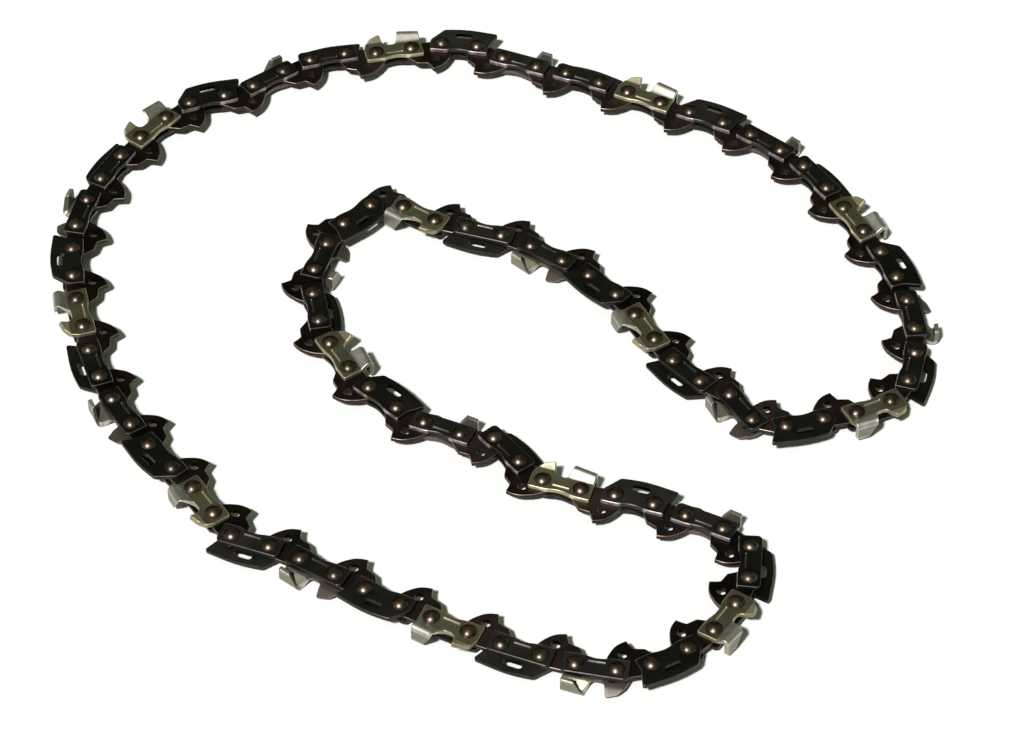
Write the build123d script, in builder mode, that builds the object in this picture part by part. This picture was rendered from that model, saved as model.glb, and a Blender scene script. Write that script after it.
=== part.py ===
"""Closed loop of low-profile saw chain, lying on its side.

Every station along the loop is a pair of outer plates on two rivets, and a drive link joins it to the next.
A plate's own frame has its front rivet at the origin, its rear rivet on +X and the cutting side on +Y.
"""
import os
from cmath import phase
from math import cos, degrees, radians, sin, tan

from build123d import *

os.makedirs("parts", exist_ok=True)

# Pitch and thickness
OUTER_PITCH = 9.97  # rivet to rivet on a cutter or strap
DRIVE_PITCH = 8.67  # rivet to rivet on a drive link
GAUGE = 1.3  # drive link
PLATE = 1.15  # cutter and strap
KERF_HALF = 3.3  # mid-plane to a cutter's outer corner

# Rivets
HEAD_RADIUS = 2.1
HEAD_HEIGHT = 1.1
HEAD_SIDES = 6
HUB_RADIUS = 2.0
HUB_SIDES = 12
HUB_CLEARANCE = 0.05
OPEN_CLEARANCE = 0.08  # at the pivot where the loop is closed

# Outline shared by the outer plates
END_REACH = 3.3  # past each rivet
END_LEAN = 0.2
FOOT = -3.0  # edge towards the drive tangs
WAIST = -2.1
WAIST_FOOT = 1.3  # where the foot turns up to the waist
CROWN = 2.9  # outer edge of a plain strap
CORNER = 1.1

# Guard strap
GUARD_RAMP_FOOT = 1.0
GUARD_RAMP_TOP = (0.2, 5.2)
GUARD_CROWN = (6.0, 6.05)
GUARD_TIP = 5.0
GUARD_TIP_REACH = 5.4  # past the rear rivet
GUARD_HEEL = 0.6  # where the rear edge turns out to the tip
SLOT_LENGTH = 4.8
SLOT_WIDTH = 1.9
SLOT_PLACE = (5.8, 3.2)

# Cutter
GAUGE_TIP = (1.8, 6.7)  # top of the depth gauge
GAUGE_HEEL = (2.4, 2.4)
GAUGE_RAMP_FOOT = 2.2
TOOTH_FRONT = 6.4
TOOTH_LENGTH = 6.3
TOOTH_TOP = 6.5
TOOTH_ROOT = 2.3
TOP_PLATE = 1.0
TOP_REACH = 1.6  # across the mid-plane
FOLD = 0.8
FOLD_INSIDE = 1.35  # inner corner of the fold, from the outer side
CUTTING_ANGLE = 30
SIDE_LEAN = 13  # of the side cutting edge, back towards the top
RELIEF_ANGLE = 6

# Drive link
LINK_END = 2.9
LINK_CROWN = 2.3
LINK_LEAN = 0.7
LINK_HIP = -1.3
SHOULDER_FRONT = (0.4, -5.5)
SHOULDER_REAR = (3.2, -6.1)
HOOK = (3.8, -7.2)
TANG_TIP = (4.4, -8.7)
TANG_BELLY = (7.3, -7.9)
TANG_FLANK = (10.0, -4.8)
OIL_HOLE = (6.1, -4.8)
OIL_HOLE_RADIUS = 1.15
OIL_HOLE_SIDES = 6

# How the loop lies: stations follow this closed path clockwise, and the path is scaled until the chain fits it
STATIONS = 52
PERIOD = 4  # left cutter, left guard, right cutter, right guard
PATH = (
    (-32.5, 107.5), (-5.5, 111), (4.5, 105), (22.5, 99), (43.5, 89), (71.5, 75), (85.5, 62.5),
    (97.5, 42.5), (106, 26), (111, -5.5), (106, -21), (80.5, -31), (70, -33), (64, -23.5),
    (54, -16.5), (30, 17.5), (-0.5, 37), (-12.5, 40), (-29, 48), (-46, 26), (-44.5, 3.5),
    (-33.5, -16.5), (-8.5, -35), (2, -37), (11, -49), (40, -58), (51, -63), (64.5, -71),
    (58, -95), (32, -111), (19, -108.5), (-0.5, -101.5), (-27, -88), (-53.5, -73), (-64, -69),
    (-70, -59.5), (-89.5, -35), (-100.5, -16.5), (-107, 4), (-110, 16.5), (-111.5, 37), (-92, 78.5),
    (-83, 87.5), (-73, 90.5), (-44.5, 107),
)
PATH_SHIFT = complex(-0.05, 0.19)  # brings the middle of the loop's box to the origin
STRIDE = 0.05
HALVINGS = 36
SCALE_LIMITS = (0.8, 1.25)

# Runs of stations that swing as one, each from its first station; the loop is closed at the last run's end
RUNS = (
    ("upper_outer_run", 6, 8), ("upper_tip", 8, 16), ("upper_inner_run", 16, 18), ("inner_bend", 18, 28),
    ("lower_inner_run", 28, 30), ("lower_tip", 30, 34), ("lower_outer_run", 34, 36), ("back_run", 36, 58),
)
OPEN_STATION = 36


def chord_tangent(before, here, after):
    """Direction of the path at a waypoint, from the spans on both sides of it."""
    back, ahead = here - before, after - here
    return (back / abs(back) * abs(ahead) + ahead / abs(ahead) * abs(back)) / (abs(back) + abs(ahead))


WAYPOINTS = [complex(x, y) for x, y in PATH]
SPANS = len(WAYPOINTS)
TANGENTS = [chord_tangent(WAYPOINTS[i - 1], WAYPOINTS[i], WAYPOINTS[(i + 1) % SPANS]) for i in range(SPANS)]


def path_point(step):
    """Point of the closed path; whole steps are the waypoints."""
    span = int(step)
    t = step - span
    first, last = span % SPANS, (span + 1) % SPANS
    start, end = WAYPOINTS[first], WAYPOINTS[last]
    lead, trail = TANGENTS[first] * abs(end - start), TANGENTS[last] * abs(end - start)
    blend = t * t * (3 - 2 * t)
    return start + (end - start) * blend + t * (1 - t) * ((1 - t) * lead - t * trail)


def walk(scale):
    """Rivets set out chord by chord along the scaled path, and the step where the last one falls."""
    rivets = [path_point(0) * scale]
    step = 0
    for k in range(2 * STATIONS):
        pitch = DRIVE_PITCH if k % 2 else OUTER_PITCH
        far = step
        while abs(path_point(far) * scale - rivets[-1]) < pitch:
            far += STRIDE
        near = far - STRIDE
        for _ in range(HALVINGS):
            middle = (near + far) / 2
            if abs(path_point(middle) * scale - rivets[-1]) < pitch:
                near = middle
            else:
                far = middle
        step = far
        rivets.append(path_point(step) * scale)
    return rivets, step


def lay_loop():
    """Rivets of the closed loop, at the scale where the last one meets the first."""
    small, large = SCALE_LIMITS
    for _ in range(HALVINGS):
        scale = (small + large) / 2
        if walk(scale)[1] > SPANS:
            small = scale
        else:
            large = scale
    return [rivet + PATH_SHIFT for rivet in walk(large)[0]]


RIVETS = lay_loop()


def place(first):
    """Location of the piece whose front rivet has this number."""
    here, ahead = RIVETS[first % len(RIVETS)], RIVETS[first % len(RIVETS) + 1]
    return Location((here.real, here.imag, KERF_HALF), (0, 0, degrees(phase(ahead - here))))


def station_place(station):
    return place(2 * (station % STATIONS))


def link_place(station):
    """Location of the drive link behind a station."""
    return place(2 * (station % STATIONS) + 1)


# Tang-side edge from the front end to the rear end, the same on every outer plate
front_foot = [(END_LEAN - END_REACH, FOOT), (WAIST_FOOT, FOOT)]
rear_foot = [(OUTER_PITCH - x, y) for x, y in reversed(front_foot)]
foot = [*front_foot, (OUTER_PITCH / 2, WAIST), *rear_foot]
rear_end = OUTER_PITCH + END_REACH
OUTER_FACE = GAUGE / 2 + PLATE


def rivet_heads():
    """Low faceted heads on the outer face of the plate being built."""
    for x in (0, OUTER_PITCH):
        with BuildSketch(Plane.XY.offset(OUTER_FACE)) as rim:
            with Locations((x, 0)):
                RegularPolygon(HEAD_RADIUS, HEAD_SIDES)
        loft([rim.sketch, Vertex(x, 0, OUTER_FACE + HEAD_HEIGHT)])


with BuildPart() as tie_strap:
    with BuildSketch(Plane.XY.offset(GAUGE / 2)):
        with BuildLine():
            Polyline(
                *foot,
                (rear_end, CROWN - CORNER),
                (rear_end - CORNER, CROWN),
                (CORNER - END_REACH, CROWN),
                (-END_REACH, CROWN - CORNER),
                close=True,
            )
        make_face()
    extrude(amount=PLATE)
    rivet_heads()

with BuildPart() as pivot_strap:
    add(tie_strap.part)
    with BuildSketch(Plane.XY.offset(GAUGE / 2)):
        RegularPolygon(HUB_RADIUS, HUB_SIDES)
    extrude(amount=-GAUGE)

with BuildPart() as guard_strap:
    with BuildSketch(Plane.XY.offset(GAUGE / 2)):
        with BuildLine():
            Polyline(
                *foot,
                (rear_end, GUARD_HEEL),
                (OUTER_PITCH + GUARD_TIP_REACH, GUARD_TIP),
                GUARD_CROWN,
                GUARD_RAMP_TOP,
                (-END_REACH, GUARD_RAMP_FOOT),
                close=True,
            )
        make_face()
        with Locations(SLOT_PLACE):
            Rectangle(SLOT_LENGTH, SLOT_WIDTH, mode=Mode.SUBTRACT)
    extrude(amount=PLATE)
    rivet_heads()

with BuildPart() as tooth:
    with BuildSketch(Plane.YZ.offset(TOOTH_FRONT)):
        with BuildLine():
            Polyline(
                (TOOTH_ROOT, GAUGE / 2),
                (TOOTH_ROOT, OUTER_FACE),
                (TOOTH_TOP - FOLD, KERF_HALF),
                (TOOTH_TOP, KERF_HALF - FOLD),
                (TOOTH_TOP, -TOP_REACH),
                (TOOTH_TOP - TOP_PLATE, -TOP_REACH),
                (TOOTH_TOP - TOP_PLATE, KERF_HALF - FOLD_INSIDE),
                close=True,
            )
        make_face()
    extrude(amount=TOOTH_LENGTH, dir=(cos(radians(RELIEF_ANGLE)), -sin(radians(RELIEF_ANGLE)), 0))
    cutting_corner = (TOOTH_FRONT, TOOTH_TOP - FOLD, KERF_HALF)
    lead = Plane(cutting_corner, z_dir=(1, -tan(radians(SIDE_LEAN)), tan(radians(CUTTING_ANGLE))))
    split(bisect_by=lead, keep=Keep.TOP)

with BuildPart() as cutter:
    with BuildSketch(Plane.XY.offset(GAUGE / 2)):
        with BuildLine():
            Polyline(
                *foot,
                (TOOTH_FRONT + TOOTH_LENGTH, GAUGE_HEEL[1]),
                GAUGE_HEEL,
                GAUGE_TIP,
                (-END_REACH, GAUGE_RAMP_FOOT),
                close=True,
            )
        make_face()
    extrude(amount=PLATE)
    rivet_heads()
    add(tooth.part)

with BuildPart() as drive_link:
    with BuildSketch(Plane.XY.offset(-GAUGE / 2)):
        with BuildLine():
            link_rear = DRIVE_PITCH + LINK_END
            Polyline(
                (LINK_LEAN - LINK_END, LINK_CROWN),
                (-LINK_END, LINK_HIP),
                SHOULDER_FRONT,
                SHOULDER_REAR,
                HOOK,
                TANG_TIP,
                TANG_BELLY,
                TANG_FLANK,
                (link_rear, LINK_HIP),
                (link_rear - LINK_LEAN, LINK_CROWN),
                close=True,
            )
        make_face()
        with Locations(OIL_HOLE):
            RegularPolygon(OIL_HOLE_RADIUS, OIL_HOLE_SIDES, mode=Mode.SUBTRACT)
    extrude(amount=GAUGE)


def pivot_link(clearance):
    """Drive link bored to turn on the rivet at its rear."""
    with BuildPart() as link:
        add(drive_link.part)
        with BuildSketch(Plane.XY.offset(-GAUGE / 2)):
            with Locations((DRIVE_PITCH, 0)):
                RegularPolygon(HUB_RADIUS + clearance, HUB_SIDES, major_radius=False)
        extrude(amount=GAUGE, mode=Mode.SUBTRACT)
    return link.part


def other_side(piece):
    """The same piece on the far side of the chain."""
    return piece.mirror(Plane.XY)


running_link = pivot_link(HUB_CLEARANCE)
closing_link = pivot_link(OPEN_CLEARANCE)

# Cutters, numbered along the loop
for number in range(STATIONS // PERIOD):
    with BuildPart() as left_cutter:
        with Locations(station_place(PERIOD * number)):
            add(cutter.part)
    name = f"left_cutter_{number + 1:02d}"
    left_cutter.part.label = name
    export_step(left_cutter.part, f"parts/{name}.step")
    with BuildPart() as right_cutter:
        with Locations(station_place(PERIOD * number + PERIOD // 2)):
            add(other_side(cutter.part))
    name = f"right_cutter_{number + 1:02d}"
    right_cutter.part.label = name
    export_step(right_cutter.part, f"parts/{name}.step")

# Straps and drive links, grouped by the run that carries them
for run, first, end in RUNS:
    stations = range(first, end)
    with BuildPart() as tie_straps:
        for station in stations:
            strap = pivot_strap.part if station == first else tie_strap.part
            with Locations(station_place(station)):
                add(other_side(strap) if station % PERIOD < PERIOD // 2 else strap)
    tie_straps.part.label = f"tie_straps_{run}"
    export_step(tie_straps.part, f"parts/tie_straps_{run}.step")
    with BuildPart() as guard_straps:
        for station in stations:
            if station % 2:
                with Locations(station_place(station)):
                    add(guard_strap.part if station % PERIOD < PERIOD // 2 else other_side(guard_strap.part))
    guard_straps.part.label = f"guard_straps_{run}"
    export_step(guard_straps.part, f"parts/guard_straps_{run}.step")
    with BuildPart() as drive_links:
        for station in stations:
            link = drive_link.part
            if station == end - 1:
                link = closing_link if end == OPEN_STATION else running_link
            with Locations(link_place(station)):
                add(link)
    drive_links.part.label = f"drive_links_{run}"
    export_step(drive_links.part, f"parts/drive_links_{run}.step")
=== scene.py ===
"""Looks of a closed loop of saw chain: stamped plates, hooked drive links, chromed cutters and rivets.

Lengths are in millimetres until a form is placed. A plate's own frame has its front rivet at the origin,
its rear rivet on +X, the cutting side on +Y and the middle plane of the chain at z = 0.
"""
from cmath import phase, rect
from math import ceil, copysign, cos, pi, radians, sin, tan

import bpy
from mathutils import Matrix, Vector
from mathutils.geometry import delaunay_2d_cdt


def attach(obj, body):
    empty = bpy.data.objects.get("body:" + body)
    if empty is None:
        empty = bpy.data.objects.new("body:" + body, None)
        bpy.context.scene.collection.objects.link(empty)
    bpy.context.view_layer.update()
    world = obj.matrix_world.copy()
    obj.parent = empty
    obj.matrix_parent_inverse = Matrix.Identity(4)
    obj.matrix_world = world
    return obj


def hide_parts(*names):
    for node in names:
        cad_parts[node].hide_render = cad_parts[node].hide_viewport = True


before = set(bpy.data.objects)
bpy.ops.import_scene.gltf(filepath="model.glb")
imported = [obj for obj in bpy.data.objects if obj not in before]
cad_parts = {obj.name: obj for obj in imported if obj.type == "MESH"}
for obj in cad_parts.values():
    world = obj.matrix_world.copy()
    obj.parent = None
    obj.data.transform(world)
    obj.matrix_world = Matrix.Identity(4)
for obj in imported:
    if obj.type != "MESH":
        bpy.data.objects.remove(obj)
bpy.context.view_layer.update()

MM = 0.001
INSIDE_WITH_HOLES = 2  # triangulation that leaves out the inner loops
SAME_POINT = 1e-6  # points of a triangulation that are closer are one

# Chain sizes, as in the solids
OUTER_PITCH = 9.97
DRIVE_PITCH = 8.67
GAUGE = 1.3
PLATE = 1.15
KERF_HALF = 3.3
INNER_FACE = GAUGE / 2
OUTER_FACE = GAUGE / 2 + PLATE
LINK_PLAY = 0.02  # between a drive link's face and a plate

# Edges left by the stamping die
ROLLOVER = 0.24  # rounding of an outer edge
BURR = 0.08  # rounding of an inner edge
LINK_ROUND = 0.16
ROUND_STEPS = 3
ARC_STEP = radians(9)

# Rivets
HEAD_RADIUS = 2.1
HUB_RADIUS = 2.0
TENON_RADIUS = 1.5  # through a plate
BORE_PLAY = 0.05
RIVET_SIDES = 36
HEAD_LIP = 0.1
HEAD_HEIGHT = 1.1
HEAD_FLANK = radians(39)  # slope of the conical flank around the crown
CROWN_RADIUS = 1.45
CROWN_STEPS = 6
OIL_AND_SHADE_RINGS = ((2.25, 0.75), (2.6, 0.0))  # radius around a rivet and dark layer: oil with painted contact shade

# Stamped line between the rivets of a plate
GROOVE_PLACE = complex(OUTER_PITCH / 2, -1.05)
GROOVE_LENGTH = 4.9
GROOVE_WIDTH = 0.75
GROOVE_DEPTH = 0.2
GROOVE_SLOPE = 0.22

# Wear, from 0 to 1, also used for painted highlights and painted shade; a pair is for walls and for rims
FOOT_LINE = -2.75  # below it the outer plates ride on the guide bar
FOOT_WEAR = 1.0
FAR_PAINTED_SHADE_WEAR = 0.06  # share kept on the far side of the chain; the rest is taken off as painted shade
STRAP_WEAR = (0.03, 0.18)
LINK_WEAR = (0.02, 0.65)
CUTTER_WEAR = (0.4, 0.55)
# Bare colour in the floor of the pressed groove: a painted highlight
STRAP_GROOVE_HIGHLIGHT = 0.3
CUTTER_GROOVE_HIGHLIGHT = 0.6
GAUGE_PAINTED_HIGHLIGHT = 0.45  # painted highlight: bare colour on the outside of the flared end of the depth gauge

# Guard strap slot
SLOT_PLACE = complex(5.8, 3.2)
SLOT_LENGTH = 4.8
SLOT_WIDTH = 1.9

# Cutter
TOOTH_FRONT = 6.4
TOOTH_REAR = 12.7
TOOTH_TOP = 6.5
TOP_REACH = 1.6  # across the middle plane
CUTTING_ANGLE = radians(30)
SIDE_LEAN = radians(13)  # of the side cutting edge, back towards the top
RELIEF = tan(radians(6))
SIDE_RELIEF = tan(radians(3))
FLARE_ANGLE = radians(31)
FLARE_BEND = 0.8
FOLD_BEND = 0.8
FILED_BACK = 0.9  # how far the inside of the cutting edge is filed behind its outside
FILED_ZONE = 0.3  # behind the front edge
GULLET = 4.0  # middle of the gullet, between depth gauge and tooth
GAUGE_BEND_START = 3.5
GAUGE_BEND = 0.9
GAUGE_FLARE = radians(30)
GAUGE_BEND_END = GAUGE_BEND_START + GAUGE_BEND * GAUGE_FLARE
GAUGE_COLUMNS = (-1.7, -0.8, 0.1, 1.0, 1.6)  # points across the bend of the depth gauge
TOOTH_STEP = 0.22  # between rows of points up the tooth
TOOTH_STRIDE = 0.9  # between points of a row
TOOTH_MARGIN = 0.35

# Coat of the cutters: chrome on the tooth, by the place on the flat blank, dimmed on the top plate as
# painted shade, and oil with painted shade
TOOTH_FOOT = 5.6  # chrome only lies behind this
CHROME_START = 2.5  # height where it sets in
CHROME_FULL = 3.6  # height where it covers the steel
TOP_PAINTED_SHADE_COAT = 0.25  # limit on the top plate's outer face: its chrome dimmed as painted shade
INSIDE_COAT = 0.25  # limit on the inside
BRIGHT_END = 0.5  # width of the bright strip at the end of the top plate, which keeps full chrome outside the painted shade
FAR_PAINTED_SHADE_FILM = 0.85  # dark layer all over the far cutters: painted shade

# Oil hole in the drive tang
OIL_HOLE = complex(6.1, -4.8)
OIL_HOLE_RADIUS = 1.15

# Corners (x, y, radius) of the outlines
FOOT_CORNERS = (
    (-3.1, -3.0, 0.5), (1.3, -3.0, 9), (OUTER_PITCH / 2, -2.1, 8), (OUTER_PITCH - 1.3, -3.0, 9),
    (OUTER_PITCH + 3.1, -3.0, 0.5),
)
STRAP_CROWN = ((OUTER_PITCH + 3.3, 2.9, 1.3), (-3.3, 2.9, 1.3))
GUARD_CROWN = (
    (OUTER_PITCH + 3.3, 0.6, 2.5), (OUTER_PITCH + 5.4, 5.0, 0.6), (6.0, 6.2, 30), (0.1, 5.4, 1.4),
    (-3.3, 1.0, 1.3),
)
GAUGE_CORNERS = ((2.5, 2.3, 1.3), (1.6, 6.3, 0.45), (-1.2, 5.3, 2.0), (-2.7, 3.4, 2.5), (-3.3, 1.5, 1.2))
GULLET_FLOOR = 2.35
GULLET_RADIUS = 1.4
REAR_RADIUS = 2
REAR_DRAFT = 0.1
TOP_REAR_RADIUS = 0.45
TOP_FRONT_RADIUS = 0.4
CREST_RADIUS = 0.5
LINK_CORNERS = (
    (-2.2, 2.3, 1.0), (-2.9, -1.3, 1.6), (0.4, -5.5, 0.9), (3.2, -6.1, 0.35), (3.8, -7.2, 1.2),
    (4.4, -8.7, 0.2), (7.3, -7.9, 6), (10.0, -4.8, 9), (DRIVE_PITCH + 2.9, -1.3, 1.6),
    (DRIVE_PITCH + 2.2, 2.3, 1.0),
)

# How the loop lies, as in the solids
STATIONS = 52
PERIOD = 4  # left cutter, left guard, right cutter, right guard
PATH = (
    (-32.5, 107.5), (-5.5, 111), (4.5, 105), (22.5, 99), (43.5, 89), (71.5, 75), (85.5, 62.5),
    (97.5, 42.5), (106, 26), (111, -5.5), (106, -21), (80.5, -31), (70, -33), (64, -23.5),
    (54, -16.5), (30, 17.5), (-0.5, 37), (-12.5, 40), (-29, 48), (-46, 26), (-44.5, 3.5),
    (-33.5, -16.5), (-8.5, -35), (2, -37), (11, -49), (40, -58), (51, -63), (64.5, -71),
    (58, -95), (32, -111), (19, -108.5), (-0.5, -101.5), (-27, -88), (-53.5, -73), (-64, -69),
    (-70, -59.5), (-89.5, -35), (-100.5, -16.5), (-107, 4), (-110, 16.5), (-111.5, 37), (-92, 78.5),
    (-83, 87.5), (-73, 90.5), (-44.5, 107),
)
PATH_SHIFT = complex(-0.05, 0.19)
STRIDE = 0.05  # of a first search along the path, in spans
HALVINGS = 36  # of a search after that
SCALE_LIMITS = (0.8, 1.25)  # of the path, which the chain has to fill
RUNS = (
    ("upper_outer_run", 6, 8), ("upper_tip", 8, 16), ("upper_inner_run", 16, 18), ("inner_bend", 18, 28),
    ("lower_inner_run", 28, 30), ("lower_tip", 30, 34), ("lower_outer_run", 34, 36), ("back_run", 36, 58),
)

# Colours: a pair is mottled by noise
STRAP_TONES = ((0.012, 0.0125, 0.010), (0.033, 0.0275, 0.0225))
# Bare colour of worn edges, also a painted highlight in the groove
STRAP_BARE_AND_HIGHLIGHT = (0.42, 0.34, 0.35)
LINK_TONES = ((0.007, 0.0048, 0.0038), (0.036, 0.0185, 0.015))
LINK_BARE = (0.55, 0.43, 0.31)
CUTTER_TONES = ((0.084, 0.080, 0.044), (0.122, 0.113, 0.068))
# Bare colour of worn edges, also a painted highlight in the groove and on the flared depth gauge
CUTTER_BARE_AND_HIGHLIGHT = (0.72, 0.62, 0.42)
CHROME_TONES = ((0.47, 0.44, 0.385), (0.63, 0.59, 0.52))
# Dark layer: oil with painted contact shade around the rivets, painted shade on the far cutters
OIL_AND_SHADE_FILM = (0.100, 0.080, 0.064)
RIVET_TONES = ((0.080, 0.065, 0.052), (0.235, 0.166, 0.130))
RIVET_EDGE_TINT = (0.03, 0.03, 0.03, 1)
GROUND_WHITE = (0.95, 0.95, 0.95, 1)

# Finish: sizes of the mottling in millimetres, roughness from least to most, share of metal
STEEL_MOTTLE = 9.0
CUTTER_MOTTLE = 4.0
CHROME_MOTTLE = 2.2
RIVET_MOTTLE = 1.8
WEAR_MOTTLE = 1.6
STEEL_SPAN = (0.35, 0.68)  # part of the noise over which two tones change
MOTTLE_SPAN = (0.35, 0.65)
WEAR_SPAN = (0.3, 0.6)
FINE_SPAN = (0.3, 0.7)
STEEL_ROUGH = (0.35, 0.44)
CUTTER_ROUGH = (0.36, 0.45)
CHROME_ROUGHER = 1.2  # times the roughness of plain steel
RIVET_ROUGH = (0.32, 0.42)
GROUND_ROUGH = 0.9
STEEL_FINE = (0.25, 0.02, 0.25)  # unevenness: size and depth in millimetres, strength
CUTTER_FINE = (0.2, 0.015, 0.2)
RIVET_FINE = (0.3, 0.012, 0.2)
STEEL_LEAST_WEAR = 0.5  # share of the wear that is left between its patches
CUTTER_LEAST_WEAR = 0.6
BARE_FROM = 0.5  # wear above which the share of metal changes
STEEL_METAL = (0.8, 0.4)  # oiled and bare
CUTTER_METAL = (0.6, 1.0)  # plain and chromed
STEEL_GRAIN = 0.75
CUTTER_GRAIN = 0.55  # none where it is chromed

# Camera, light and ground
LENS = 125.31
CAMERA_PLACE = (5.8, -630.15, 680.0)  # millimetres
CAMERA_TILT = radians(42.473)
CAMERA_ROLL = radians(0.153)
SUN_FROM = (-0.284, -0.511, 0.811)
SUN_STRENGTH = 3.8
SUN_COLOR = (1.0, 0.99, 1.0)
SUN_ANGLE = radians(6)
WORLD_COLOR = (0.105, 0.128, 0.080, 1)
GROUND_SIZE = 16  # metres


def chord_tangent(before, here, after):
    """Direction of the path at a waypoint, from the spans on both sides of it."""
    back, ahead = here - before, after - here
    return (back / abs(back) * abs(ahead) + ahead / abs(ahead) * abs(back)) / (abs(back) + abs(ahead))


WAYPOINTS = [complex(x, y) for x, y in PATH]
SPANS = len(WAYPOINTS)
TANGENTS = [chord_tangent(WAYPOINTS[i - 1], WAYPOINTS[i], WAYPOINTS[(i + 1) % SPANS]) for i in range(SPANS)]


def path_point(step):
    """Point of the closed path; whole steps are the waypoints."""
    span = int(step)
    t = step - span
    first, last = span % SPANS, (span + 1) % SPANS
    start, end = WAYPOINTS[first], WAYPOINTS[last]
    lead, trail = TANGENTS[first] * abs(end - start), TANGENTS[last] * abs(end - start)
    blend = t * t * (3 - 2 * t)
    return start + (end - start) * blend + t * (1 - t) * ((1 - t) * lead - t * trail)


def walk(scale):
    """Rivets set out chord by chord along the scaled path, and the step where the last one falls."""
    rivets = [path_point(0) * scale]
    step = 0
    for k in range(2 * STATIONS):
        pitch = DRIVE_PITCH if k % 2 else OUTER_PITCH
        far = step
        while abs(path_point(far) * scale - rivets[-1]) < pitch:
            far += STRIDE
        near = far - STRIDE
        for _ in range(HALVINGS):
            middle = (near + far) / 2
            if abs(path_point(middle) * scale - rivets[-1]) < pitch:
                near = middle
            else:
                far = middle
        step = far
        rivets.append(path_point(step) * scale)
    return rivets, step


def lay_loop():
    """Rivets of the closed loop, at the scale where the last one meets the first."""
    small, large = SCALE_LIMITS
    for _ in range(HALVINGS):
        scale = (small + large) / 2
        if walk(scale)[1] > SPANS:
            small = scale
        else:
            large = scale
    return [rivet + PATH_SHIFT for rivet in walk(large)[0]]


RIVETS = lay_loop()


def place(first):
    """Matrix from a piece's own frame to the shared frame, by the number of its front rivet."""
    here, ahead = RIVETS[first], RIVETS[first + 1]
    turn = Matrix.Rotation(phase(ahead - here), 4, "Z")
    return Matrix.Scale(MM, 4) @ Matrix.Translation((here.real, here.imag, KERF_HALF)) @ turn


# Outlines: closed loops of complex numbers with the material on their left

def rounded(corners):
    """Closed outline through corners (x, y, radius), each turned into an arc."""
    loop = []
    for i, (x, y, radius) in enumerate(corners):
        here = complex(x, y)
        before = complex(*corners[i - 1][:2])
        after = complex(*corners[(i + 1) % len(corners)][:2])
        ahead = (here - before) / abs(here - before)
        turn = phase((after - here) / ahead)
        start = here - ahead * radius * tan(abs(turn) / 2)
        spoke = -1j * ahead * copysign(radius, turn)
        steps = 1 + ceil(abs(turn) / ARC_STEP)
        loop += [start - spoke + spoke * rect(1, turn * k / steps) for k in range(steps + 1)]
    return loop


def circle(centre, radius, sides=RIVET_SIDES):
    """Round hole, running clockwise."""
    return [centre + rect(radius, -2 * pi * k / sides) for k in range(sides)]


def stadium(centre, length, width):
    """Round-ended slot, running clockwise."""
    half, end = (length - width) / 2, width / 2
    sides = RIVET_SIDES // 2
    right = [centre + half + rect(end, pi / 2 - pi * k / sides) for k in range(sides + 1)]
    left = [centre - half + rect(end, -pi / 2 - pi * k / sides) for k in range(sides + 1)]
    return right + left


def inset(loop, distance):
    """Loop moved into the material by a distance."""
    moved = []
    for i, point in enumerate(loop):
        back = (point - loop[i - 1]) / abs(point - loop[i - 1])
        after = loop[(i + 1) % len(loop)]
        ahead = (after - point) / abs(after - point)
        moved.append(point + 2j * distance * (back + ahead) / abs(back + ahead) ** 2)
    return moved


def divided(loop, first_y, step):
    """Loop whose long edges above a height are cut into short ones."""
    fine = []
    for point, after in zip(loop, loop[1:] + loop[:1]):
        cuts = ceil(abs(after - point) / step) if min(point.imag, after.imag) > first_y else 1
        fine += [point + (after - point) * k / cuts for k in range(cuts)]
    return fine


class Form:
    """Mesh in a piece's own frame, with creased edges and, for each point, the share of bare colour for
    worn edges and for painted light, coat and grain.

    A coat of 1 is hard chrome, -1 a dark layer of oil with painted shade. The grain is the point's place on
    the flat blank, turned so that its first number counts across the brush marks.
    """

    def __init__(self):
        self.points, self.faces, self.creases = [], [], set()
        self.wear, self.coat, self.grain = [], [], []

    def ring(self, loop, height, wear):
        """New points around a loop at one height; gives their numbers."""
        first = len(self.points)
        self.points += [Vector((p.real, p.imag, height)) for p in loop]
        self.wear += [wear] * len(loop)
        self.coat += [0.0] * len(loop)
        self.grain += [(p.imag, -p.real) for p in loop]
        return list(range(first, len(self.points)))

    def bands(self, rings):
        """Faces between each ring and the next."""
        for low, high in zip(rings, rings[1:]):
            for i in range(len(low)):
                self.faces.append((low[i - 1], low[i], high[i], high[i - 1]))

    def crease(self, ring):
        """Edges around a ring that stay sharp."""
        self.creases |= {frozenset((ring[i - 1], ring[i])) for i in range(len(ring))}

    def cap(self, rings, up, inner=()):
        """Flat face inside the first ring and outside the others, through any inner points."""
        height = self.points[rings[0][0]].z
        numbers = [i for ring in rings for i in ring]
        loops, base = [], 0
        for ring in rings:
            loops.append(list(range(base, base + len(ring))))
            base += len(ring)
            self.crease(ring)
        numbers += self.ring(inner, height, 0.0)
        flat = [self.points[i].to_2d() for i in numbers]
        _, _, faces, sources, _, _ = delaunay_2d_cdt(flat, [], loops, INSIDE_WITH_HOLES, SAME_POINT)
        for face in faces:
            corners = [numbers[sources[i][0]] for i in face]
            self.faces.append(tuple(corners if up else reversed(corners)))

    def mirrored(self):
        """The same form on the far side of the chain, with most of its bare colour taken off as painted
        shade.
        """
        far = Form()
        far.points = [Vector((p.x, p.y, -p.z)) for p in self.points]
        far.faces = [tuple(reversed(face)) for face in self.faces]
        far.creases, far.coat, far.grain = self.creases, self.coat, self.grain
        # Painted shade: far pieces keep only a small share of their bare colour
        far.wear = [FAR_PAINTED_SHADE_WEAR * wear for wear in self.wear]
        return far


def rounding(size):
    """Steps (inset, depth) down a rounded rim, from the flat face to the wall."""
    angles = [pi / 2 * k / ROUND_STEPS for k in range(ROUND_STEPS + 1)]
    return [(size * (1 - sin(a)), size * (1 - cos(a))) for a in angles]


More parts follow.
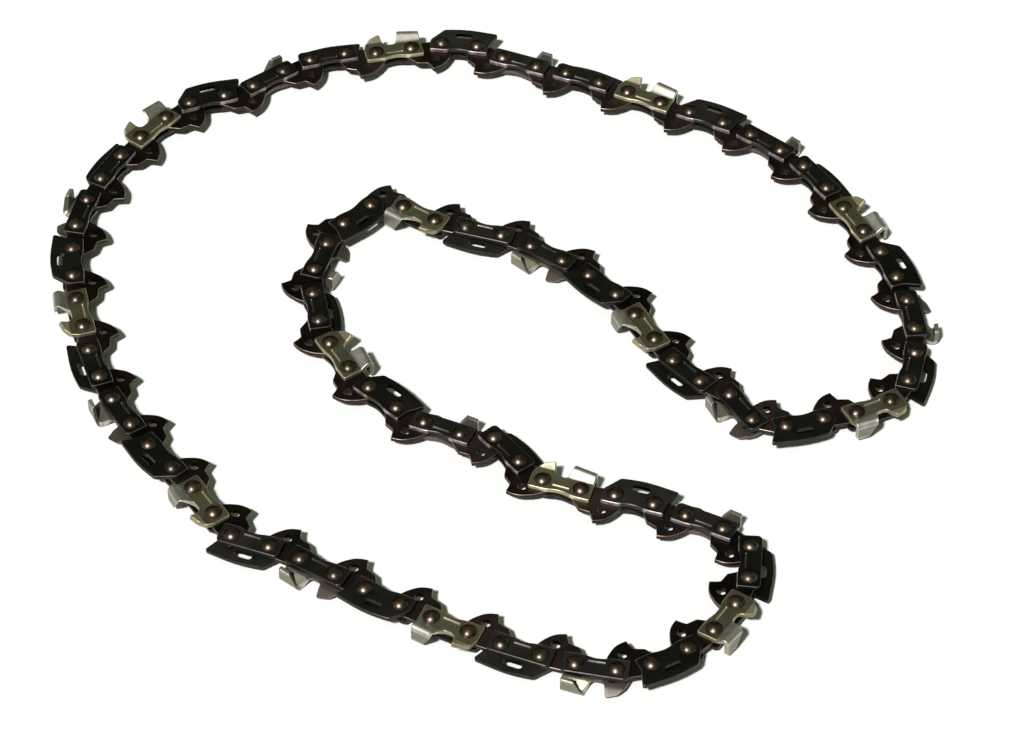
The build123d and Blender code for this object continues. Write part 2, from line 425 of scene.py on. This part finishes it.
def stamped(outline, holes, low, high, low_round, high_round, wear, groove_wear=None, inner=()):
    """Plate punched out of sheet, with rounded rims outside and sharp holes.

    It has a pressed groove if the groove's highlight is given; its floor is painted with bare colour as a
    highlight.
    """
    form = Form()
    rings = []
    wall_wear, rim_wear = wear
    for move, depth in rounding(low_round):
        rings.append(form.ring(inset(outline, move), low + depth, wall_wear if depth else 0.0))
    for move, depth in reversed(rounding(high_round)):
        worn = 0.0 if not depth else rim_wear if move else wall_wear
        rings.append(form.ring(inset(outline, move), high - depth, worn))
    form.bands(rings)
    bottoms, tops = [rings[0]], [rings[-1]]
    for hole in holes:
        walls = [form.ring(hole, height, 0.0) for height in (low, high)]
        form.bands(walls)
        bottoms.append(walls[0])
        tops.append(walls[1])
    if groove_wear is not None:
        lip = form.ring(groove, high, 0.0)
        # Painted highlight: bare colour on the groove floor
        floor = form.ring(inset(groove, -GROOVE_SLOPE), high - GROOVE_DEPTH, groove_wear)
        form.bands([floor, lip])
        form.cap([floor], True)
        tops.append(lip)
    form.cap(bottoms, False, inner)
    form.cap(tops, True, inner)
    return form


tenons = [circle(complex(x, 0), TENON_RADIUS) for x in (0, OUTER_PITCH)]
groove = stadium(GROOVE_PLACE, GROOVE_LENGTH, GROOVE_WIDTH)


def plate(outline, holes=(), wear=STRAP_WEAR, groove_wear=None, inner=()):
    """Outer plate on the near side of the chain, with its feet worn bright."""
    form = stamped(
        outline, [*tenons, *holes], INNER_FACE, OUTER_FACE, BURR, ROLLOVER, wear, groove_wear, inner
    )
    for i, point in enumerate(form.points):
        if form.wear[i] and point.y < FOOT_LINE:
            form.wear[i] = max(form.wear[i], FOOT_WEAR)
    return form


def tie_strap():
    """Waisted strap with a groove between its rivets."""
    return plate(rounded([*FOOT_CORNERS, *STRAP_CROWN]), groove_wear=STRAP_GROOVE_HIGHLIGHT)


def guard_strap():
    """Strap with a raised ramp and one slot."""
    slot = stadium(SLOT_PLACE, SLOT_LENGTH, SLOT_WIDTH)
    return plate(rounded([*FOOT_CORNERS, *GUARD_CROWN]), [slot])


def drive_link():
    """Middle plate with a hooked tang and an oil hole."""
    holes = [circle(complex(x, 0), HUB_RADIUS + BORE_PLAY) for x in (0, DRIVE_PITCH)]
    holes.append(circle(OIL_HOLE, OIL_HOLE_RADIUS))
    face = INNER_FACE - LINK_PLAY
    return stamped(rounded(LINK_CORNERS), holes, -face, face, LINK_ROUND, LINK_ROUND, LINK_WEAR)


# Section of the tooth along the middle of its sheet: up, flared out, folded over and across
PLATE_MIDDLE = INNER_FACE + PLATE / 2
FLARE_RISE = KERF_HALF - PLATE / 2 - PLATE_MIDDLE - (FLARE_BEND + FOLD_BEND) * (1 - cos(FLARE_ANGLE))
FLARE_LENGTH = FLARE_RISE / sin(FLARE_ANGLE)
FOLD_ANGLE = FLARE_ANGLE + pi / 2
FLARE_START = (
    TOOTH_TOP - PLATE / 2 - FLARE_LENGTH * cos(FLARE_ANGLE)
    - FLARE_BEND * sin(FLARE_ANGLE) - FOLD_BEND * (1 + sin(FLARE_ANGLE))
)
FLARE_END = FLARE_START + FLARE_BEND * FLARE_ANGLE + FLARE_LENGTH
FOLD_CREST = FLARE_END + FOLD_BEND * FLARE_ANGLE
FOLD_END = FLARE_END + FOLD_BEND * FOLD_ANGLE
TOP_END = FOLD_END + KERF_HALF - PLATE / 2 - FOLD_BEND + TOP_REACH


def sheet_point(way, height, stretches):
    """Point of a bent sheet: way along its middle, height off it, through stretches (length, turn)."""
    spot, heading = complex(0, PLATE_MIDDLE), 0.0
    for length, turn in stretches:
        part = min(max(way, 0), length)
        angle = turn * part / length
        chord = part if not angle else 2 * sin(angle / 2) * part / angle
        spot += rect(chord, heading + angle / 2)
        heading += angle
        way -= length
    return spot + rect(height, heading + pi / 2)


TOOTH_BENDS = (
    (FLARE_START, 0), (FLARE_BEND * FLARE_ANGLE, FLARE_ANGLE), (FLARE_LENGTH, 0),
    (FOLD_BEND * FOLD_ANGLE, -FOLD_ANGLE), (TOP_END - FOLD_END, 0),
)
GAUGE_BENDS = ((GAUGE_BEND_START, 0), (GAUGE_BEND * GAUGE_FLARE, GAUGE_FLARE), (TOOTH_TOP, 0))


def tooth_front(way):
    """Front edge of the flat tooth: leaning up its side, then swept back across the top."""
    beyond = way - FOLD_CREST
    return TOOTH_FRONT + beyond * tan(CUTTING_ANGLE if beyond > 0 else SIDE_LEAN)


def bend_cutter(point):
    """Point of the flat blank after the depth gauge is flared and the tooth folded and filed."""
    height = point.z - PLATE_MIDDLE
    if point.x < GULLET:
        if point.y <= GAUGE_BEND_START:
            return point
        bent = sheet_point(point.y, height, GAUGE_BENDS)
        return Vector((point.x, bent.real, bent.imag))
    if point.y <= FLARE_START:
        return point
    bent = sheet_point(point.y, height, TOOTH_BENDS)
    raised = min((point.y - FLARE_START) / (FLARE_END - FLARE_START), 1)
    back = point.x - TOOTH_FRONT
    filed = FILED_BACK * (0.5 - height / PLATE) if point.x - tooth_front(point.y) < FILED_ZONE else 0
    lowered = RELIEF * back * raised
    drawn_in = SIDE_RELIEF * back * raised
    return Vector((point.x + filed * raised, bent.real - lowered, bent.imag - drawn_in))


def chrome_at(point, outside):
    """Coat of a point on the flat tooth."""
    most = 1.0 if outside else INSIDE_COAT
    # Painted shade: the top plate's outer face keeps only part of its chrome, except for a strip at its end
    if outside and FOLD_END < point.y < TOP_END - BRIGHT_END:
        most = TOP_PAINTED_SHADE_COAT
    return min((point.y - CHROME_START) / (CHROME_FULL - CHROME_START), most)


def cutter_points():
    """Points inside the cutter's outline, where its faces bend or change colour."""
    points = []
    rows = ceil((TOP_END - FLARE_START) / TOOTH_STEP)
    for row in range(rows):
        way = FLARE_START + row * (TOP_END - FLARE_START) / rows
        x = tooth_front(way) + FILED_BACK + TOOTH_MARGIN
        while x < TOOTH_REAR - TOOTH_MARGIN and way < TOP_END - TOOTH_MARGIN:
            points.append(complex(x, way))
            x += TOOTH_STRIDE
    for way in (GAUGE_BEND_START, GAUGE_BEND_END):
        points += [complex(x, way) for x in GAUGE_COLUMNS]
    for middle in (0, OUTER_PITCH):
        for radius, _ in OIL_AND_SHADE_RINGS:
            points += circle(middle, radius, RIVET_SIDES // 2)
    return points


def cutter(painted_shade_film=0.0):
    """Near-side cutter with its plate darkened all over by this much of a dark layer, as painted shade."""
    outline = rounded([
        *FOOT_CORNERS,
        (TOOTH_REAR, FLARE_START, REAR_RADIUS),
        (TOOTH_REAR - REAR_DRAFT, TOP_END, TOP_REAR_RADIUS),
        (tooth_front(TOP_END), TOP_END, TOP_FRONT_RADIUS),
        (TOOTH_FRONT, FOLD_CREST, CREST_RADIUS),
        (tooth_front(GULLET_FLOOR), GULLET_FLOOR, GULLET_RADIUS),
        *GAUGE_CORNERS,
    ])
    blank = divided(outline, FLARE_START, TOOTH_STEP)
    form = plate(blank, (), CUTTER_WEAR, CUTTER_GROOVE_HIGHLIGHT, cutter_points())
    for i, point in enumerate(form.points):
        outside = point.z > INNER_FACE + BURR / 2
        near_rivet = min(abs(complex(point.x - middle, point.y)) for middle in (0, OUTER_PITCH))
        # Dark layer: painted shade all over when given, and oil with painted contact shade around the
        # rivets
        form.coat[i] = -max([painted_shade_film] + [oil for radius, oil in OIL_AND_SHADE_RINGS if near_rivet < radius + BURR])
        if point.x > TOOTH_FOOT and point.y > CHROME_START:
            form.coat[i] = chrome_at(point, outside)
        # Painted highlight: bare colour on the outside of the flared depth gauge
        elif outside and point.x < GULLET and point.y > GAUGE_BEND_END - BURR:
            form.wear[i] = max(form.wear[i], GAUGE_PAINTED_HIGHLIGHT)
    form.points = [bend_cutter(p) for p in form.points]
    return form


def rivet():
    """Shouldered rivet with a formed head on each side: a lip, a conical flank and a round crown."""
    upper = [(HUB_RADIUS, INNER_FACE), (TENON_RADIUS, INNER_FACE), (TENON_RADIUS, OUTER_FACE)]
    upper += [(HEAD_RADIUS, OUTER_FACE), (HEAD_RADIUS, OUTER_FACE + HEAD_LIP)]
    top, ball = OUTER_FACE + HEAD_HEIGHT, CROWN_RADIUS / sin(HEAD_FLANK)
    for k in range(CROWN_STEPS):
        angle = HEAD_FLANK * (1 - k / CROWN_STEPS)
        upper.append((ball * sin(angle), top - ball * (1 - cos(angle))))
    profile = [(radius, -height) for radius, height in reversed(upper)] + upper
    form = Form()
    rings = [form.ring(circle(0, radius)[::-1], height, 0.0) for radius, height in profile]
    form.bands(rings)
    for ring, height in ((rings[0], -top), (rings[-1], top)):
        tip = form.ring([0], height, 0.0)[0]
        for i in range(len(ring)):
            face = (ring[i - 1], ring[i], tip)
            form.faces.append(face if height > 0 else tuple(reversed(face)))
    return form


def build(name, placed, material):
    """One Blender piece out of forms and their matrices."""
    points, faces, creases = [], [], set()
    wear, coat, grain = [], [], []
    for form, matrix in placed:
        base = len(points)
        points += [matrix @ p for p in form.points]
        faces += [tuple(base + i for i in face) for face in form.faces]
        creases |= {tuple(sorted(base + i for i in edge)) for edge in form.creases}
        wear += form.wear
        coat += form.coat
        grain += form.grain
    mesh = bpy.data.meshes.new(name)
    mesh.from_pydata(points, [], faces)
    mesh.shade_smooth()
    sharp = mesh.attributes.new("sharp_edge", "BOOLEAN", "EDGE")
    sharp.data.foreach_set("value", [tuple(sorted(edge.vertices)) in creases for edge in mesh.edges])
    for layer, values in (("wear", wear), ("coat", coat)):
        mesh.attributes.new(layer, "FLOAT", "POINT").data.foreach_set("value", values)
    layout = mesh.uv_layers.new(name="grain")
    layout.data.foreach_set("uv", [way for loop in mesh.loops for way in grain[loop.vertex_index]])
    mesh.materials.append(material)
    piece = bpy.data.objects.new(name, mesh)
    bpy.context.scene.collection.objects.link(piece)
    return piece


# Materials

class Shader:
    """Small helper that lays out a node material."""

    def __init__(self, name):
        self.material = bpy.data.materials.new(name)
        self.material.use_nodes = True
        self.tree = self.material.node_tree
        self.surface = self.tree.nodes["Principled BSDF"]
        self.place = self.tree.nodes.new("ShaderNodeTexCoord").outputs["Object"]

    def node(self, kind, **settings):
        made = self.tree.nodes.new(kind)
        for key, value in settings.items():
            setattr(made, key, value)
        return made

    def link(self, source, target):
        self.tree.links.new(source, target)

    def put(self, value, socket):
        """Number or earlier result on a socket."""
        if isinstance(value, float):
            socket.default_value = value
        else:
            self.link(value, socket)

    def noise(self, size, detail=3.0, roughness=0.55):
        """Noise with features of about this size in millimetres."""
        made = self.node("ShaderNodeTexNoise")
        made.inputs["Scale"].default_value = 1 / (size * MM)
        made.inputs["Detail"].default_value = detail
        made.inputs["Roughness"].default_value = roughness
        self.link(self.place, made.inputs["Vector"])
        return made.outputs["Fac"]

    def grain(self, amount):
        """Brushed along the length of each plate."""
        self.put(amount, self.surface.inputs["Anisotropic"])
        made = self.node("ShaderNodeTangent", direction_type="UV_MAP", uv_map="grain")
        self.link(made.outputs["Tangent"], self.surface.inputs["Tangent"])

    def attribute(self, name):
        return self.node("ShaderNodeAttribute", attribute_name=name).outputs["Fac"]

    def remap(self, value, low, high, to_low, to_high):
        made = self.node("ShaderNodeMapRange")
        self.link(value, made.inputs["Value"])
        for socket, number in zip(made.inputs[1:5], (low, high, to_low, to_high)):
            socket.default_value = number
        return made.outputs["Result"]

    def product(self, first, second):
        made = self.node("ShaderNodeMath", operation="MULTIPLY")
        self.link(first, made.inputs[0])
        self.link(second, made.inputs[1])
        return made.outputs["Value"]

    def mix(self, factor, first, second):
        """Colours or earlier results mixed by a factor."""
        made = self.node("ShaderNodeMix", data_type="RGBA")
        self.link(factor, made.inputs["Factor"])
        for socket, value in ((made.inputs[6], first), (made.inputs[7], second)):
            if isinstance(value, tuple):
                socket.default_value = (*value, 1)
            else:
                self.link(value, socket)
        return made.outputs[2]

    def mottled(self, size, span, tones):
        """Two tones mixed by noise."""
        return self.mix(self.remap(self.noise(size), *span, 0, 1), *tones)

    def worn(self, least):
        """Share of bare colour for worn edges, for painted highlights and, cut down on the far side, for
        painted shade; patchy down to this share of it.
        """
        patches = self.remap(self.noise(WEAR_MOTTLE), *WEAR_SPAN, least, 1)
        return self.product(self.attribute("wear"), patches)

    def fine(self, size, depth, strength, rough):
        """Fine unevenness of this depth; gives the roughness that goes with it."""
        height = self.noise(size)
        self.bump(height, depth, strength)
        return self.remap(height, *FINE_SPAN, *rough)

    def bump(self, height, depth, strength):
        made = self.node("ShaderNodeBump")
        made.inputs["Strength"].default_value = strength
        made.inputs["Distance"].default_value = depth * MM
        self.link(height, made.inputs["Height"])
        self.link(made.outputs["Normal"], self.surface.inputs["Normal"])

    def finish(self, color, roughness, metallic):
        self.link(color, self.surface.inputs["Base Color"])
        self.link(roughness, self.surface.inputs["Roughness"])
        self.put(metallic, self.surface.inputs["Metallic"])
        return self.material


def dark_steel(name, tones, bare):
    """Oiled hardened steel in two mottled tones, bare where it rubs and, as painted highlight, in groove
    floors.
    """
    s = Shader(name)
    s.grain(STEEL_GRAIN)
    worn = s.worn(STEEL_LEAST_WEAR)
    color = s.mix(worn, s.mottled(STEEL_MOTTLE, STEEL_SPAN, tones), bare)
    rough = s.fine(*STEEL_FINE, STEEL_ROUGH)
    return s.finish(color, rough, s.remap(worn, BARE_FROM, 1, *STEEL_METAL))


def cutter_steel():
    """Olive-bronze steel with a hard-chromed tooth that is dimmed on the top plate as painted shade, bare
    colour as painted highlight, and a dark layer: oil with painted contact shade around the rivets, painted
    shade on the far cutters.
    """
    s = Shader("cutter_steel")
    coat = s.attribute("coat")
    chrome = s.remap(coat, 0, 1, 0, 1)
    s.grain(s.remap(chrome, 0, 1, CUTTER_GRAIN, 0))
    plain = s.mottled(CUTTER_MOTTLE, MOTTLE_SPAN, CUTTER_TONES)
    color = s.mix(s.worn(CUTTER_LEAST_WEAR), plain, CUTTER_BARE_AND_HIGHLIGHT)
    color = s.mix(chrome, color, s.mottled(CHROME_MOTTLE, MOTTLE_SPAN, CHROME_TONES))
    # Dark layer: oil with painted contact shade around the rivets, painted shade on the far cutters
    color = s.mix(s.remap(coat, 0, -1, 0, 1), color, OIL_AND_SHADE_FILM)
    rough = s.product(s.fine(*CUTTER_FINE, CUTTER_ROUGH), s.remap(chrome, 0, 1, 1, CHROME_ROUGHER))
    return s.finish(color, rough, s.remap(chrome, 0, 1, *CUTTER_METAL))


def rivet_steel():
    """Dark brown rivet heads, polished by forming."""
    s = Shader("rivet_steel")
    s.surface.inputs["Specular Tint"].default_value = RIVET_EDGE_TINT
    color = s.mottled(RIVET_MOTTLE, MOTTLE_SPAN, RIVET_TONES)
    return s.finish(color, s.fine(*RIVET_FINE, RIVET_ROUGH), 1.0)


def ground():
    """White ground."""
    s = Shader("ground")
    s.surface.inputs["Base Color"].default_value = GROUND_WHITE
    s.surface.inputs["Roughness"].default_value = GROUND_ROUGH
    s.surface.inputs["Specular IOR Level"].default_value = 0.0
    return s.material


# The chain

steel = dark_steel("strap_steel", STRAP_TONES, STRAP_BARE_AND_HIGHLIGHT)
brown = dark_steel("link_steel", LINK_TONES, LINK_BARE)
bronze = cutter_steel()
dome = rivet_steel()
near = {"strap": tie_strap(), "guard": guard_strap(), "cutter": cutter()}
far = {kind: form.mirrored() for kind, form in near.items()}
# Far cutters darkened all over as painted shade
far["cutter"] = cutter(FAR_PAINTED_SHADE_FILM).mirrored()
link = drive_link()
pin = rivet()


def dress(node, body, placed, material):
    """Piece that stands for a CAD node."""
    piece = build(f"{node}_formed", placed, material)
    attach(piece, body)
    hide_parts(node)


for run, first, end in RUNS:
    straps, guards, links, pins = [], [], [], []
    for station in range(first, end):
        number = station % STATIONS
        spot = place(2 * number)
        kind = number % PERIOD
        leading, trailing = (near, far) if kind < PERIOD // 2 else (far, near)
        straps.append((trailing["strap"], spot))
        links.append((link, place(2 * number + 1)))
        pins += [(pin, spot), (pin, spot @ Matrix.Translation((OUTER_PITCH, 0, 0)))]
        if kind % 2:
            guards.append((leading["guard"], spot))
        else:
            side = "left" if kind < PERIOD // 2 else "right"
            name = f"{side}_cutter_{number // PERIOD + 1:02d}"
            dress(name, run, [(leading["cutter"], spot)], bronze)
    dress(f"tie_straps_{run}", run, straps, steel)
    dress(f"guard_straps_{run}", run, guards, steel)
    dress(f"drive_links_{run}", run, links, brown)
    rivets = build(f"rivets_{run}", pins, dome)
    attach(rivets, run)


# Ground, light and camera

bpy.ops.mesh.primitive_plane_add(size=GROUND_SIZE)
floor = bpy.context.object
floor.name = "ground"
floor.data.materials.append(ground())

sun = bpy.data.lights.new("key", "SUN")
sun.energy = SUN_STRENGTH
sun.color = SUN_COLOR
sun.angle = SUN_ANGLE
key = bpy.data.objects.new("key", sun)
key.location = SUN_FROM
key.rotation_euler = (-Vector(SUN_FROM)).to_track_quat("-Z", "Y").to_euler()
bpy.context.scene.collection.objects.link(key)

world = bpy.data.worlds.new("studio")
world.use_nodes = True
world.node_tree.nodes["Background"].inputs["Color"].default_value = WORLD_COLOR
bpy.context.scene.world = world

camera = bpy.data.objects.new("camera", bpy.data.cameras.new("camera"))
camera.data.lens = LENS
camera.location = Vector(CAMERA_PLACE) * MM
camera.rotation_euler = (CAMERA_TILT, 0, 0)
camera.rotation_euler.rotate_axis("Z", CAMERA_ROLL)
bpy.context.scene.collection.objects.link(camera)
bpy.context.scene.camera = camera
bpy.context.scene.view_settings.view_transform = "Standard"
